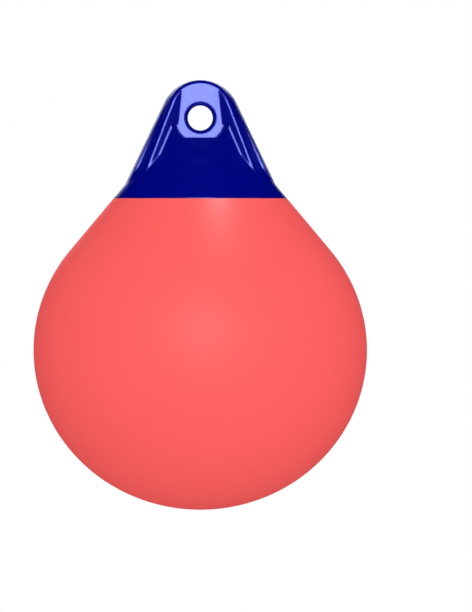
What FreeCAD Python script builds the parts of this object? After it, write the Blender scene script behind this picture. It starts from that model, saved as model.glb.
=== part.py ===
"""Inflatable mooring buoy: a hollow drop-shaped body of soft vinyl, a rope hold moulded over its neck,
and a screw valve in the back of the rope hold.

Frame: origin at the centre of the rope eye, X across the buoy, Y along the eye, Z up.
The front looks along -Y. Lengths are in millimetres and angles in degrees.
A depth is a distance from the mid-plane Y = 0, towards the front or the back.
"""
import FreeCAD, Part
import math
import os

V = FreeCAD.Vector
ORIGIN = V(0, 0, 0)
ALONG_X = V(1, 0, 0)
ALONG_Y = V(0, 1, 0)
ALONG_Z = V(0, 0, 1)

# Overall sizes
overall_height = 380.0
body_diameter = 295.0
eye_diameter = 22.0
eye_below_crown = 33.6

# Body: an ellipsoid that runs into a conical shoulder, which aims at the skirt's edge
shoulder_half_angle = 39.95
body_wall = 3.0
body_step_round = 2.0

# Rope hold: the skirt that sits on the shoulder, hollow underneath
skirt_edge_below_eye = 70.7
skirt_edge_radius = 76.4
skirt_wall = 5.0
skirt_edge_round = 0.5
recess_roof_below_eye = 43.0
recess_corner_round = 12.0
cone_cap_below_eye = 8.0
bond_line = 0.05

# Rope hold: the drafted flange, from the front outline on the mid-plane to its flat face
crown_radius = 35.4
flange_half_angle = 25.5
flange_half_thickness = 12.0
face_crown_radius = 32.5
face_crown_inset = 0.2

# Rope hold: the drafted block on the flange's face. Its tip is a section ahead of all that is left of it.
block_half_angle = 22.6
block_tip_depth = 60.0
block_tip_radius = 14.5
block_tip_crown_inset = 0.5
crest_round = 3.4
junction_round = 3.0

# Rope hold: the pocket round the eye, with a flat floor and two sloping side walls
floor_depth = 21.5
floor_half_width = 18.7
floor_edge_angle = 6.65
pocket_wall_angle = 25.5

# Rope hold: the prow below the eye, with two sloping sides
prow_top_below_eye = 5.5
prow_ridge_depth = 38.2
prow_ridge_angle = 24.2
prow_side_angle = 35.0
prow_nose_half_width = 11.8
valley_round = 3.5

# Rope hold: the scoop that leads the rope down from the eye, and the eye's rounded rims
scoop_floor_radius = 24.0
scoop_half_angle = 30.5
scoop_floor_round = 6.5
scoop_rim_round = 0.8
scoop_lip_below_eye = 17.2
scoop_lip_height = 6.5
eye_rim_round = 4.2

# Valve: a bush in the back of the skirt, closed by a slotted screw on a seal ring
valve_below_eye = 57.0
bush_flange_diameter = 20.0
bush_flange_thickness = 2.0
bush_flange_sunk = 1.6
bush_sleeve_diameter = 12.0
bush_past_lining = 5.0
bush_fit_gap = 0.1
screw_diameter = 7.0
screw_length = 14.0
screw_fit_gap = 0.1
screw_head_diameter = 13.0
screw_head_thickness = 2.4
screw_head_round = 0.6
screw_slot_width = 1.8
screw_slot_depth = 1.2
seal_diameter = 10.4
seal_thickness = 1.4
seal_seat_depth = 1.2

# Room that a cutting shape needs past the surface it cuts
clear_past = 12.0

# Points closer than this are one point
touching = 0.001


def sine(angle):
    return math.sin(math.radians(angle))


def cosine(angle):
    return math.cos(math.radians(angle))


def tangent(angle):
    return math.tan(math.radians(angle))


# Heights measured from the eye, and what follows from the sizes above
body_radius = body_diameter / 2
eye_radius = eye_diameter / 2
bottom_z = eye_below_crown - overall_height
skirt_edge_z = -skirt_edge_below_eye
recess_roof_z = -recess_roof_below_eye
block_root_z = skirt_edge_z + skirt_wall


shoulder_down = V(sine(shoulder_half_angle), 0, -cosine(shoulder_half_angle))
shoulder_out = V(cosine(shoulder_half_angle), 0, sine(shoulder_half_angle))


def lower_height():
    """The height of the widest ring above the bottom, for which the shoulder is tangent to the ellipsoid."""
    edge_from_bottom = shoulder_out.dot(V(skirt_edge_radius, 0, skirt_edge_z - bottom_z))
    across = body_radius * shoulder_out.x
    return (edge_from_bottom ** 2 - across ** 2) / (2 * edge_from_bottom * shoulder_out.z)


body_lower_height = lower_height()
widest_z = bottom_z + body_lower_height


def straight(a, b):
    return Part.makeLine(a, b)


def rounded_path(corners, rounds):
    """The edges of an open path through the corners, with an arc at each corner that rounds names."""
    edges = []
    start = corners[0]
    for index in range(1, len(corners) - 1):
        corner = corners[index]
        if index not in rounds:
            edges.append(straight(start, corner))
            start = corner
            continue
        back = (start - corner).normalize()
        ahead = (corners[index + 1] - corner).normalize()
        half = back.getAngle(ahead) / 2
        enter = corner + back * (rounds[index] / math.tan(half))
        leave = corner + ahead * (rounds[index] / math.tan(half))
        nearest = corner + (back + ahead).normalize() * (rounds[index] / math.sin(half) - rounds[index])
        edges.append(straight(start, enter))
        edges.append(Part.Arc(enter, nearest, leave).toShape())
        start = leave
    edges.append(straight(start, corners[-1]))
    return edges


def turned(edges, axis=ALONG_Z):
    """The solid that a closed profile sweeps in one turn about an axis through the eye's centre."""
    wire = Part.Wire(Part.__sortEdges__(edges))
    return Part.Face(wire).revolve(ORIGIN, axis, 360)


def lofted(lower, upper):
    """The solid between two closed wires, with straight lines from each corner to its partner."""
    return Part.makeLoft([lower, upper], True, True)


def flat_sided(lower, upper):
    """The solid between two outlines with as many corners each, closed by flat sides."""
    faces = [Part.Face(Part.makePolygon(ring + [ring[0]])) for ring in (lower, upper)]
    for index in range(len(lower)):
        side = [lower[index - 1], lower[index], upper[index], upper[index - 1]]
        faces.append(Part.Face(Part.makePolygon(side + [side[0]])))
    solid = Part.makeSolid(Part.makeShell(faces))
    if solid.Volume < 0:
        solid.reverse()
    return solid


def middle(edge):
    return edge.valueAt((edge.FirstParameter + edge.LastParameter) / 2)


def shared_edges(shape, first, second, low_z, high_z):
    """The edges of shape that lie on the skins of both other shapes, between two heights."""
    found = []
    for edge in shape.Edges:
        spot = Part.Vertex(middle(edge))
        on_both = all(spot.distToShape(skin)[0] < touching for skin in (first.Shells[0], second.Shells[0]))
        if on_both and low_z < spot.Z < high_z:
            found.append(edge)
    return found


def back_copy(shape):
    return shape.mirror(ORIGIN, ALONG_Y)


def wall_end(inset):
    """Where the body's ellipsoid, moved in by inset, is tangent to the shoulder."""
    wide = body_radius - inset
    high = body_lower_height - inset
    turn = math.atan(high / wide * tangent(shoulder_half_angle))
    return V(wide * math.cos(turn), 0, widest_z + high * math.sin(turn))


def on_shoulder(depth, distance):
    """The point depth below the outer surface and distance down the slope from the skirt's edge."""
    edge = V(skirt_edge_radius, 0, skirt_edge_z)
    return edge - shoulder_out * depth + shoulder_down * distance


def on_shoulder_at(depth, z):
    """The point at height z on the surface that lies depth below the outer one."""
    edge = on_shoulder(depth, 0)
    return edge + shoulder_down * ((edge.z - z) / cosine(shoulder_half_angle))


def wall_arc(inset):
    """The ellipsoid's profile, moved in by inset, from its lowest point to the shoulder."""
    wide = body_radius - inset
    high = body_lower_height - inset
    centre = V(0, 0, widest_z)
    ends = sorted([centre + ALONG_X * wide, centre + ALONG_Z * high], key=centre.distanceToPoint)
    ellipse = Part.Ellipse(ends[1], ends[0], centre)
    lowest = ellipse.parameter(centre - ALONG_Z * high)
    end = ellipse.parameter(wall_end(inset))
    if abs(end - lowest) > math.pi:
        end += math.copysign(2 * math.pi, lowest - end)
    return Part.ArcOfEllipse(ellipse, min(lowest, end), max(lowest, end)).toShape()


def make_body():
    """The shell: its shoulder steps in under the skirt and closes in a domed neck."""
    neck_depth = skirt_wall + bond_line
    neck_roof_z = recess_roof_z - bond_line
    outer = [
        wall_end(0),
        on_shoulder(0, bond_line),
        on_shoulder(neck_depth, bond_line),
        on_shoulder_at(neck_depth, neck_roof_z),
        V(0, 0, neck_roof_z),
        V(0, 0, bottom_z),
    ]
    lining_depth = neck_depth + body_wall
    step = bond_line + body_wall
    inner = [
        wall_end(body_wall),
        on_shoulder(body_wall, step),
        on_shoulder(lining_depth, step),
        on_shoulder_at(lining_depth, neck_roof_z - body_wall),
        V(0, 0, neck_roof_z - body_wall),
        V(0, 0, bottom_z + body_wall),
    ]
    neck_round = recess_corner_round - bond_line
    outer_rounds = {1: skirt_edge_round, 3: neck_round}
    inner_rounds = {1: body_step_round, 2: body_step_round, 3: neck_round - body_wall}
    outside = turned(rounded_path(outer, outer_rounds) + [wall_arc(0)])
    inside = turned(rounded_path(inner, inner_rounds) + [wall_arc(body_wall)])
    return outside.cut(inside).cut(valve_placed(valve_bore()))


def skirt_core():
    """The cone of the skirt, still solid underneath, and capped inside the block."""
    cap_z = -cone_cap_below_eye
    edge = on_shoulder(0, 0)
    inner_edge = on_shoulder(skirt_wall, 0)
    corners = [
        V(0, 0, cap_z),
        on_shoulder_at(0, cap_z),
        edge,
        inner_edge,
        V(0, 0, inner_edge.z),
        V(0, 0, cap_z),
    ]
    return turned(rounded_path(corners, {2: skirt_edge_round}))


def skirt_recess():
    """The hollow under the skirt."""
    below = on_shoulder(skirt_wall, clear_past)
    corners = [
        V(0, 0, recess_roof_z),
        on_shoulder_at(skirt_wall, recess_roof_z),
        below,
        V(0, 0, below.z),
        V(0, 0, recess_roof_z),
    ]
    return turned(rounded_path(corners, {1: recess_corner_round}))


def head_outline(radius, half_angle, top_z, depth):
    """An arch: a round crown with a straight side tangent to it on each hand, down to the block's root."""
    y = -depth
    centre_z = top_z - radius
    tangent_x = radius * cosine(half_angle)
    tangent_z = centre_z + radius * sine(half_angle)
    foot_x = tangent_x + (tangent_z - block_root_z) * tangent(half_angle)
    left_foot = V(-foot_x, y, block_root_z)
    right_foot = V(foot_x, y, block_root_z)
    left = V(-tangent_x, y, tangent_z)
    right = V(tangent_x, y, tangent_z)
    crown = Part.Arc(right, V(0, y, top_z), left).toShape()
    sides = [straight(right_foot, right), straight(left, left_foot)]
    return Part.Wire([straight(left_foot, right_foot), sides[0], crown, sides[1]])


def block_outline():
    """The block's root. Its crown is that of the flange's face, and its sides lean in more steeply."""
    face_top = eye_below_crown - face_crown_inset
    return head_outline(face_crown_radius, block_half_angle, face_top, flange_half_thickness)


def front_flange():
    outline = head_outline(crown_radius, flange_half_angle, eye_below_crown, 0)
    face_top = eye_below_crown - face_crown_inset
    face = head_outline(face_crown_radius, flange_half_angle, face_top, flange_half_thickness)
    return lofted(outline, face)


def pocket_wall_depth(x, z):
    """The depth of the pocket's side wall, which starts from the floor's edge and rises outwards."""
    floor_edge = floor_half_width - z * tangent(floor_edge_angle)
    return floor_depth + (x - floor_edge) * tangent(pocket_wall_angle)


def prow_depth(x, z):
    """The depth of the prow's side, which falls away from the ridge and comes forward as it goes down."""
    return prow_ridge_depth - z * tangent(prow_ridge_angle) - x * tangent(prow_side_angle)


def valley_x(z):
    """Where the pocket's side wall and the prow's side meet at height z."""
    rise = tangent(pocket_wall_angle) + tangent(prow_side_angle)
    return (prow_depth(0, z) - pocket_wall_depth(0, z)) / rise


def section(half_points, z):
    """The corners of an outline at height z, from (x, depth) points of its right half."""
    right = [V(x, -depth, z) for x, depth in half_points]
    left = [V(-x, -depth, z) for x, depth in reversed(half_points)]
    return right + left


def pocket_section(z, reach, ahead):
    floor_edge = floor_half_width - z * tangent(floor_edge_angle)
    return section([(floor_edge, floor_depth), (reach, pocket_wall_depth(reach, z)), (reach, ahead)], z)


def prow_section(z, reach, ahead):
    nose = (prow_nose_half_width, prow_depth(prow_nose_half_width, z))
    valley = (valley_x(z), prow_depth(valley_x(z), z))
    return section([nose, valley, (reach, pocket_wall_depth(reach, z)), (reach, ahead)], z)


def front_block():
    """The drafted block in front of the flange, with the pocket and the prow cut out of it."""
    root = block_outline()
    tip_top = eye_below_crown - block_tip_crown_inset
    tip = head_outline(block_tip_radius, block_half_angle, tip_top, block_tip_depth)
    block = lofted(root, tip)
    reach = root.BoundBox.XMax + clear_past
    ahead = block_tip_depth + clear_past
    top_z = eye_below_crown + clear_past
    low_z = block_root_z - clear_past
    pocket = flat_sided(
        pocket_section(-prow_top_below_eye, reach, ahead),
        pocket_section(top_z, reach, ahead),
    )
    prow_space = flat_sided(
        prow_section(low_z, reach, ahead),
        prow_section(-prow_top_below_eye, reach, ahead),
    )
    prow_space = prow_space.makeFillet(valley_round, valley_edges(prow_space))
    space = pocket.fuse(prow_space).removeSplitter()
    cut = block.cut(space)
    crest = shared_edges(cut, block, space, block_root_z + touching, eye_below_crown)
    return cut.makeFillet(crest_round, crest)


def valley_edges(shape):
    """The edges that run down the two valleys, where the pocket's wall meets the prow's side."""
    found = []
    for edge in shape.Edges:
        ends = [vertex.Point for vertex in edge.Vertexes]
        if all(abs(abs(end.x) - valley_x(end.z)) < touching for end in ends):
            found.append(edge)
    return found


def scoop_lip():
    """The ramp along the scoop's foot, which ends the pocket's floor in a level line below the eye."""
    lip_top = floor_depth + scoop_lip_height
    foot_z = -scoop_floor_radius - scoop_lip_height * tangent(scoop_half_angle)
    low_z = foot_z - clear_past
    sides = []
    for x in (-scoop_floor_radius, scoop_floor_radius):
        sides.append([
            V(x, -floor_depth, -scoop_lip_below_eye),
            V(x, -lip_top, foot_z),
            V(x, -lip_top, low_z),
            V(x, -floor_depth + clear_past, low_z),
            V(x, -floor_depth + clear_past, -scoop_lip_below_eye),
        ])
    return flat_sided(sides[0], sides[1])


def scoop():
    """The conical hollow below the eye that the rope bends over, with its concave foot and its lip."""
    ahead = block_tip_depth + clear_past
    rim = scoop_floor_radius + (ahead - floor_depth) * tangent(scoop_half_angle)
    corners = [
        V(0, -floor_depth, 0),
        V(scoop_floor_radius, -floor_depth, 0),
        V(rim, -ahead, 0),
        V(0, -ahead, 0),
        V(0, -floor_depth, 0),
    ]
    cone = turned(rounded_path(corners, {1: scoop_floor_round}), ALONG_Y)
    above = Part.makeBox(2 * rim, ahead, 2 * rim, V(-rim, -ahead, -prow_top_below_eye))
    return cone.cut([scoop_lip(), above])


def eye():
    """The eye's bore, which flares into a rounded rim at each face."""
    wide = eye_radius + eye_rim_round
    ahead = floor_depth + clear_past
    neck = floor_depth - eye_rim_round
    halfway = eye_rim_round * cosine(45)
    edges = [
        straight(V(0, -ahead, 0), V(wide, -ahead, 0)),
        straight(V(wide, -ahead, 0), V(wide, -floor_depth, 0)),
        Part.Arc(
            V(wide, -floor_depth, 0),
            V(wide - halfway, -neck - halfway, 0),
            V(eye_radius, -neck, 0),
        ).toShape(),
        straight(V(eye_radius, -neck, 0), V(eye_radius, 0, 0)),
        straight(V(eye_radius, 0, 0), ORIGIN),
        straight(ORIGIN, V(0, -ahead, 0)),
    ]
    half = turned(edges, ALONG_Y)
    return half.fuse(back_copy(half)).removeSplitter()


def make_rope_hold():
    front = front_flange().fuse(front_block())
    head = front.fuse(back_copy(front)).removeSplitter()
    cone = skirt_core()
    joined = cone.fuse(head).removeSplitter()
    junction = shared_edges(joined, cone, head, block_root_z + touching, eye_below_crown)
    front_and_back = [edge for edge in junction if abs(middle(edge).y) > flange_half_thickness - touching]
    joined = joined.makeFillet(junction_round, front_and_back)
    scoops = [scoop(), back_copy(scoop())]
    hold = joined.cut(scoops)
    rims = []
    for hollow in scoops:
        rims += shared_edges(hold, joined, hollow, block_root_z, -eye_radius)
    hold = hold.makeFillet(scoop_rim_round, rims)
    return hold.cut([eye(), skirt_recess(), valve_placed(valve_bore())])


def disc(diameter, low, high):
    return Part.makeCylinder(diameter / 2, high - low, V(0, 0, low))


def valve_bore():
    """The hole for the bush, along local Z: the skirt's surface is at zero and outside is up."""
    seat = -bush_flange_sunk - bush_fit_gap
    flange_space = disc(bush_flange_diameter + 2 * bush_fit_gap, seat, clear_past)
    sleeve_space = disc(bush_sleeve_diameter + 2 * bush_fit_gap, -2 * clear_past, 0)
    return flange_space.fuse(sleeve_space)


def valve_placed(shape):
    """Moves a valve piece from local Z to its place on the back of the skirt, square to the surface."""
    on_slope = on_shoulder_at(0, -valve_below_eye)
    place = V(0, on_slope.x, on_slope.z)
    outward = V(0, shoulder_out.x, shoulder_out.z)
    moved = shape.copy()
    moved.Placement = FreeCAD.Placement(place, FreeCAD.Rotation(ALONG_Z, outward)).multiply(moved.Placement)
    return moved


def valve_levels():
    """The heights along the valve's axis: flange's top, seal's seat, seal's top and the bush's inner end."""
    flange_top = bush_flange_thickness - bush_flange_sunk
    seal_seat = flange_top - seal_seat_depth
    seal_top = seal_seat + seal_thickness
    inner_end = -(skirt_wall + bond_line + body_wall + bush_past_lining)
    return flange_top, seal_seat, seal_top, inner_end


def make_valve_bush():
    flange_top, seal_seat, seal_top, inner_end = valve_levels()
    rim = disc(bush_flange_diameter, -bush_flange_sunk, flange_top)
    sleeve = disc(bush_sleeve_diameter, inner_end, flange_top)
    bore = disc(screw_diameter + 2 * screw_fit_gap, inner_end - clear_past, flange_top + clear_past)
    seat = disc(seal_diameter + 2 * screw_fit_gap, seal_seat, flange_top + clear_past)
    return valve_placed(rim.fuse(sleeve).removeSplitter().cut([bore, seat]))


def make_valve_screw():
    flange_top, seal_seat, seal_top, inner_end = valve_levels()
    head_top = seal_top + screw_head_thickness
    head = disc(screw_head_diameter, seal_top, head_top)
    top_rim = [edge for edge in head.Edges if abs(middle(edge).z - head_top) < touching]
    head = head.makeFillet(screw_head_round, top_rim)
    shank = disc(screw_diameter, seal_top - screw_length, seal_top)
    slot = Part.makeBox(
        2 * screw_head_diameter,
        screw_slot_width,
        2 * screw_slot_depth,
        V(-screw_head_diameter, -screw_slot_width / 2, head_top - screw_slot_depth),
    )
    return valve_placed(head.fuse(shank).cut(slot))


def make_valve_seal():
    flange_top, seal_seat, seal_top, inner_end = valve_levels()
    ring = disc(seal_diameter, seal_seat, seal_top)
    hole = disc(screw_diameter + screw_fit_gap, seal_seat - clear_past, seal_top + clear_past)
    return valve_placed(ring.cut(hole))


pieces = {
    "body": make_body(),
    "rope_hold": make_rope_hold(),
    "valve_bush": make_valve_bush(),
    "valve_screw": make_valve_screw(),
    "valve_seal": make_valve_seal(),
}

os.makedirs("parts", exist_ok=True)
for name, shape in pieces.items():
    shape.exportStep("parts/" + name + ".step")
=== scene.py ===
"""Looks of the mooring buoy: a soft red vinyl body, a dark-blue rope hold and a screw valve, in a plain studio.

Metres, in the model's own frame: origin at the centre of the rope eye, X across, Y along the eye, Z up.
The front looks along -Y.
"""
import math

import bpy
import numpy as np
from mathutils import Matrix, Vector


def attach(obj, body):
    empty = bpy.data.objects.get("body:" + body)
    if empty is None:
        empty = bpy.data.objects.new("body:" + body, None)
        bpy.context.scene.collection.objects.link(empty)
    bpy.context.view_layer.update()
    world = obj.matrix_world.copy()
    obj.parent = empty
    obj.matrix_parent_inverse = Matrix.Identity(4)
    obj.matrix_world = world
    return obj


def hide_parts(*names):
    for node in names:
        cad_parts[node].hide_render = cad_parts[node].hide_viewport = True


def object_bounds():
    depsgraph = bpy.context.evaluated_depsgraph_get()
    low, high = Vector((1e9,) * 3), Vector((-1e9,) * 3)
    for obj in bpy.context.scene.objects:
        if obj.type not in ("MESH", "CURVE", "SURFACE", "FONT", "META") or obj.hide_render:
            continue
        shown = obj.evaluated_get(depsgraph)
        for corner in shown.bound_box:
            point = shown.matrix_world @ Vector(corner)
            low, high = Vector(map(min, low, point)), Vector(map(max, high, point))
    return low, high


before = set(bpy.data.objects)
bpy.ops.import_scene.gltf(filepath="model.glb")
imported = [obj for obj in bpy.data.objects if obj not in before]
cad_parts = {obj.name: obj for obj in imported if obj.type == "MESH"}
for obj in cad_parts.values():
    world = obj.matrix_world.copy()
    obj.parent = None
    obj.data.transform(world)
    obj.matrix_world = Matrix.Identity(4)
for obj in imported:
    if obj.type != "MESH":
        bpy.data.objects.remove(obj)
cad_low, cad_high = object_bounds()

MM = 0.001

# How deep the orange peel of a moulded skin is
PEEL_DEPTH = 0.004 * MM

# Corners of loose triangles closer than this are one corner
ONE_CORNER = 0.001 * MM

# The picture's size, its scale, and the pixel that shows the centre of the rope eye
PICTURE_WIDTH = 472
PICTURE_HEIGHT = 612
PIXELS_PER_METRE = 1131.0
EYE_PIXEL_X = 200.25
EYE_PIXEL_Y = 118.0
CAMERA_DISTANCE = 1.4

# The point inside the buoy that the lamps aim at
MIDDLE = Vector((0, 0, -0.19))

# The panels are the sides of a box round the buoy, as far from its middle as this
PANEL_DISTANCE = 2.0


def linear(red, green, blue):
    """A colour from its display values, 0 to 255, as the linear values that shaders take."""
    display = np.array([red, green, blue]) / 255
    low = display / 12.92
    high = ((display + 0.055) / 1.055) ** 2.4
    return (*np.where(display <= 0.04045, low, high).tolist(), 1.0)


# Camera

def make_camera():
    """A parallel view square to the front, framed as the picture is."""
    data = bpy.data.cameras.new("camera")
    data.type = "ORTHO"
    data.ortho_scale = max(PICTURE_WIDTH, PICTURE_HEIGHT) / PIXELS_PER_METRE
    camera = bpy.data.objects.new("camera", data)
    across = (PICTURE_WIDTH / 2 - EYE_PIXEL_X) / PIXELS_PER_METRE
    up = (EYE_PIXEL_Y - PICTURE_HEIGHT / 2) / PIXELS_PER_METRE
    camera.location = (across, -CAMERA_DISTANCE, up)
    camera.rotation_euler = (math.pi / 2, 0, 0)
    bpy.context.scene.collection.objects.link(camera)
    bpy.context.scene.camera = camera


# Node helpers

def add(tree, kind, settings=(), **inputs):
    """Adds a node, with its settings, and each input as a value or a link from another node's socket."""
    node = tree.nodes.new(kind)
    for name, value in dict(settings).items():
        setattr(node, name, value)
    for name, value in inputs.items():
        socket = node.inputs[name.replace("_", " ")]
        if isinstance(value, bpy.types.NodeSocket):
            tree.links.new(value, socket)
        else:
            socket.default_value = value
    return node


def maths(tree, operation, first, second=0.0):
    """The result of a Math node on two inputs, each a value or another node's socket."""
    node = tree.nodes.new("ShaderNodeMath")
    node.operation = operation
    for socket, value in zip(node.inputs, (first, second)):
        if isinstance(value, bpy.types.NodeSocket):
            tree.links.new(value, socket)
        else:
            socket.default_value = value
    return node.outputs[0]


def new_group(name, inputs, outputs):
    """A shader group with named inputs, given as name: (kind, value), and named outputs, as name: kind."""
    group = bpy.data.node_groups.new(name, "ShaderNodeTree")
    for label, (kind, value) in inputs.items():
        socket = group.interface.new_socket(label, in_out="INPUT", socket_type=kind)
        socket.default_value = value
    for label, kind in outputs.items():
        group.interface.new_socket(label, in_out="OUTPUT", socket_type=kind)
    return group, group.nodes.new("NodeGroupInput"), group.nodes.new("NodeGroupOutput")


def moulded_skin_group():
    """The skin of a moulded plastic: faint orange peel, soft shade variation and patchy gloss."""
    inputs = {
        "Peel Scale": ("NodeSocketFloat", 400.0),
        "Shade": ("NodeSocketColor", (0.5, 0.5, 0.5, 1)),
        "Second Shade": ("NodeSocketColor", (0.5, 0.5, 0.5, 1)),
        "Patch Scale": ("NodeSocketFloat", 12.0),
        "Roughness": ("NodeSocketFloat", 0.3),
        "Roughness Spread": ("NodeSocketFloat", 0.05),
    }
    outputs = {"Color": "NodeSocketColor", "Roughness": "NodeSocketFloat", "Height": "NodeSocketFloat"}
    group, given, result = new_group("Moulded Skin", inputs, outputs)
    place = add(group, "ShaderNodeTexCoord").outputs["Object"]
    peel = add(group, "ShaderNodeTexNoise", Vector=place, Scale=given.outputs["Peel Scale"], Detail=1.5, Roughness=0.4)
    patch = add(group, "ShaderNodeTexNoise", Vector=place, Scale=given.outputs["Patch Scale"], Detail=3.0)
    mix = group.nodes.new("ShaderNodeMix")
    mix.data_type = "RGBA"
    group.links.new(patch.outputs["Fac"], mix.inputs["Factor"])
    group.links.new(given.outputs["Shade"], mix.inputs[6])
    group.links.new(given.outputs["Second Shade"], mix.inputs[7])
    centred = maths(group, "SUBTRACT", patch.outputs["Fac"], 0.5)
    spread = maths(group, "MULTIPLY", centred, given.outputs["Roughness Spread"])
    group.links.new(mix.outputs[2], result.inputs["Color"])
    group.links.new(maths(group, "ADD", spread, given.outputs["Roughness"]), result.inputs["Roughness"])
    group.links.new(peel.outputs["Fac"], result.inputs["Height"])
    return group


def soften_edges(tree, bump, flange_reach, block_reach, flange_depth, block_depth):
    """Lets edges catch the light as if they were rounded by a reach.

    The reach runs from the flange's to the block's with the depth from the mid-plane, between the two depths.
    """
    place = add(tree, "ShaderNodeTexCoord").outputs["Object"]
    depth = maths(tree, "ABSOLUTE", add(tree, "ShaderNodeSeparateXYZ", Vector=place).outputs["Y"])
    reach = add(
        tree, "ShaderNodeMapRange", Value=depth,
        From_Min=flange_depth, From_Max=block_depth, To_Min=flange_reach, To_Max=block_reach,
    )
    soft = add(tree, "ShaderNodeBevel", {"samples": 8}, Radius=reach.outputs["Result"])
    tree.links.new(soft.outputs["Normal"], bump.inputs["Normal"])


def moulded(
    name, skin, shades, rough, spread, peel_scale, specular, tint=(1, 1, 1, 1), ior=1.5, edges=None,
):
    """A moulded plastic or rubber of two close shades, finished with the shared skin."""
    material = bpy.data.materials.new(name)
    material.use_nodes = True
    tree = material.node_tree
    shader = tree.nodes["Principled BSDF"]
    surface = tree.nodes.new("ShaderNodeGroup")
    surface.node_tree = skin
    surface.inputs["Shade"].default_value = linear(*shades[0])
    surface.inputs["Second Shade"].default_value = linear(*shades[1])
    surface.inputs["Roughness"].default_value = rough
    surface.inputs["Roughness Spread"].default_value = spread
    surface.inputs["Peel Scale"].default_value = peel_scale
    bump = add(tree, "ShaderNodeBump", Strength=1.0, Distance=PEEL_DEPTH, Height=surface.outputs["Height"])
    if edges:
        soften_edges(tree, bump, **edges)
    tree.links.new(surface.outputs["Color"], shader.inputs["Base Color"])
    tree.links.new(surface.outputs["Roughness"], shader.inputs["Roughness"])
    tree.links.new(bump.outputs["Normal"], shader.inputs["Normal"])
    shader.inputs["Specular IOR Level"].default_value = specular
    shader.inputs["Specular Tint"].default_value = tint
    shader.inputs["IOR"].default_value = ior
    return material


# Pieces

def smoothed(node, name, material, crease):
    """A node's own surface with its loose triangles joined, smooth up to a crease angle in degrees.

    Corners at the same place become one, and each corner's normal leans to the larger faces round it,
    so that flat faces stay flat up to their rounded edges.
    """
    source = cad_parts[node].data
    places = np.empty(len(source.vertices) * 3)
    source.vertices.foreach_get("co", places)
    corners = np.empty(len(source.loops), np.int64)
    source.loops.foreach_get("vertex_index", corners)
    places = places.reshape(-1, 3)
    keys = np.round(places / ONE_CORNER).astype(np.int64)
    first, merged = np.unique(keys, axis=0, return_index=True, return_inverse=True)[1:]
    faces = merged.ravel()[corners].reshape(-1, 3)
    whole = (faces[:, 0] != faces[:, 1]) & (faces[:, 1] != faces[:, 2]) & (faces[:, 2] != faces[:, 0])
    mesh = bpy.data.meshes.new(name)
    mesh.from_pydata(places[first].tolist(), [], faces[whole].tolist())
    mesh.shade_smooth()
    mesh.set_sharp_from_angle(angle=math.radians(crease))
    mesh.materials.append(material)
    piece = bpy.data.objects.new(name, mesh)
    bpy.context.scene.collection.objects.link(piece)
    lean = piece.modifiers.new("normals", "WEIGHTED_NORMAL")
    lean.mode = "FACE_AREA_WITH_ANGLE"
    lean.keep_sharp = True
    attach(piece, "root")
    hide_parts(node)
    return piece


# Studio

def make_world():
    """White where the camera looks past the buoy, and dark elsewhere, so that only the lamps light it."""
    world = bpy.data.worlds.new("studio")
    world.use_nodes = True
    bpy.context.scene.world = world
    tree = world.node_tree
    background = tree.nodes["Background"]
    background.inputs["Color"].default_value = (1, 1, 1, 1)
    rays = add(tree, "ShaderNodeLightPath")
    tree.links.new(rays.outputs["Is Camera Ray"], background.inputs["Strength"])


def make_floor():
    """A pale floor under the buoy that shows its shadow.

    It lets the light of the panel below it through to the buoy, and is open when it is looked at from below.
    """
    half = PANEL_DISTANCE - 0.05
    z = cad_low.z
    mesh = bpy.data.meshes.new("floor")
    mesh.from_pydata([(-half, -half, z), (half, -half, z), (half, half, z), (-half, half, z)], [], [(0, 1, 2, 3)])
    floor = bpy.data.objects.new("floor", mesh)
    bpy.context.scene.collection.objects.link(floor)
    material = bpy.data.materials.new("floor")
    material.use_nodes = True
    tree = material.node_tree
    shader = tree.nodes["Principled BSDF"]
    shader.inputs["Base Color"].default_value = (0.87, 0.87, 0.87, 1)
    shader.inputs["Roughness"].default_value = 0.9
    shader.inputs["Specular IOR Level"].default_value = 0.0
    clear = add(tree, "ShaderNodeBsdfTransparent")
    below = add(tree, "ShaderNodeNewGeometry").outputs["Backfacing"]
    mix = tree.nodes.new("ShaderNodeMixShader")
    tree.links.new(below, mix.inputs[0])
    tree.links.new(shader.outputs[0], mix.inputs[1])
    tree.links.new(clear.outputs[0], mix.inputs[2])
    tree.links.new(mix.outputs[0], tree.nodes["Material Output"].inputs["Surface"])
    mesh.materials.append(material)
    floor.visible_diffuse = False
    floor.visible_glossy = False
    floor.visible_shadow = False


def lamp(name, place, target, width, height, strength, shape="RECTANGLE", diffuse=True, mirrored=True, onto=()):
    """An area lamp that faces its target, and lights only the pieces `onto` if some are given.

    Its strength is its radiance, where a white card would be 1. Its power is that times its area times pi.
    A lamp that shows in no reflection is only ever sampled as a light, so that no bounced ray can meet it.
    """
    data = bpy.data.lights.new(name, "AREA")
    data.shape = shape
    data.size = width
    data.size_y = height
    round_part = math.pi / 4 if shape in ("DISK", "ELLIPSE") else 1
    data.energy = strength * width * height * round_part * math.pi
    light = bpy.data.objects.new(name, data)
    light.location = place
    light.rotation_mode = "QUATERNION"
    light.rotation_quaternion = (Vector(target) - Vector(place)).to_track_quat("-Z", "Y")
    light.visible_diffuse = diffuse
    light.visible_glossy = mirrored
    light.visible_camera = False
    data.cycles.use_multiple_importance_sampling = mirrored
    bpy.context.scene.collection.objects.link(light)
    if onto:
        lit = bpy.data.collections.new(name + " lights")
        for piece in onto:
            lit.objects.link(piece)
        light.light_linking.receiver_collection = lit


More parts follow.
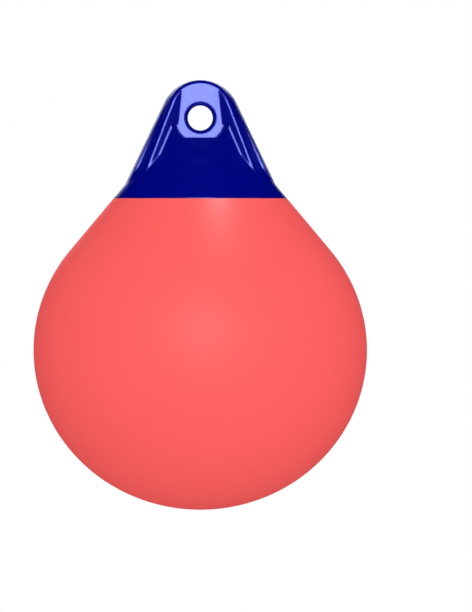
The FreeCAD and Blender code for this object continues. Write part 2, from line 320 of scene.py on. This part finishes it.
def make_lamps(body, hold, valve):
    """Broad soft panels all round, which show in no reflection, and small lamps that only show as reflections."""
    panels = (
        ("front", (0, -1, 0)), ("back", (0, 1, 0)), ("left", (-1, 0, 0)), ("right", (1, 0, 0)),
        ("top", (0, 0, 1)), ("under", (0, 0, -1)),
    )
    side = 2 * PANEL_DISTANCE
    for name, way in panels:
        lamp(name + " panel", MIDDLE + PANEL_DISTANCE * Vector(way), MIDDLE, side, side, 0.88, mirrored=False)
    lamp("front", (0.2, -1.6, 0.1), MIDDLE, 1.0, 1.0, 2.1, mirrored=False, onto=(body, hold, *valve))
    lamp("back", (-0.2, 1.6, 0.1), MIDDLE, 1.0, 1.0, 2.1, mirrored=False, onto=(body, hold, *valve))
    for name, way, on_hold, on_body in (("front", -1, 9.0, 2.2), ("back", 1, 1.5, 1.2)):
        place = (-0.05 * way, 1.2 * way, 0.1)
        for label, glow, lit in (("hold", on_hold, (hold, *valve)), ("body", on_body, (body,))):
            lamp(f"{name} glow on the {label}", place, MIDDLE, 0.7, 0.7, glow, "DISK", diffuse=False, onto=lit)
    near_eye, shoulder_top = (0.038, -0.072, 0.025), (0.012, -0.062, -0.08)
    lamp("shoulder glow", near_eye, shoulder_top, 0.05, 0.025, 12.5, diffuse=False, onto=(body,))


# The scene

make_camera()
make_world()
make_floor()

skin = moulded_skin_group()
body_vinyl = moulded(
    "body vinyl", skin, ((255, 97, 97), (253, 95, 95)), rough=0.46, spread=0.02, peel_scale=260, specular=0.5,
)
hold_vinyl = moulded(
    "hold vinyl", skin, ((0, 6, 136), (0, 5, 131)), rough=0.3, spread=0.02, peel_scale=380, specular=1.0,
    tint=(0.3, 0.35, 1.0, 1.0), ior=1.8,
    edges={"flange_reach": 2.4 * MM, "block_reach": 1.4 * MM, "flange_depth": 12.3 * MM, "block_depth": 15 * MM},
)
bush_nylon = moulded(
    "bush nylon", skin, ((38, 38, 40), (34, 34, 36)), rough=0.4, spread=0.08, peel_scale=900, specular=0.5,
)
screw_nylon = moulded(
    "screw nylon", skin, ((238, 238, 232), (232, 231, 224)), rough=0.35, spread=0.08, peel_scale=900, specular=0.5,
)
seal_rubber = moulded(
    "seal rubber", skin, ((30, 30, 30), (26, 26, 26)), rough=0.6, spread=0.1, peel_scale=1200, specular=0.3,
)

body = smoothed("body", "body_shell", body_vinyl, 30)
hold = smoothed("rope_hold", "rope_hold_moulding", hold_vinyl, 25)
bush = smoothed("valve_bush", "valve_bush_moulding", bush_nylon, 30)
screw = smoothed("valve_screw", "valve_screw_plug", screw_nylon, 30)
seal = smoothed("valve_seal", "valve_seal_ring", seal_rubber, 30)
make_lamps(body, hold, (bush, screw, seal))

bpy.context.scene.view_settings.view_transform = "Standard"
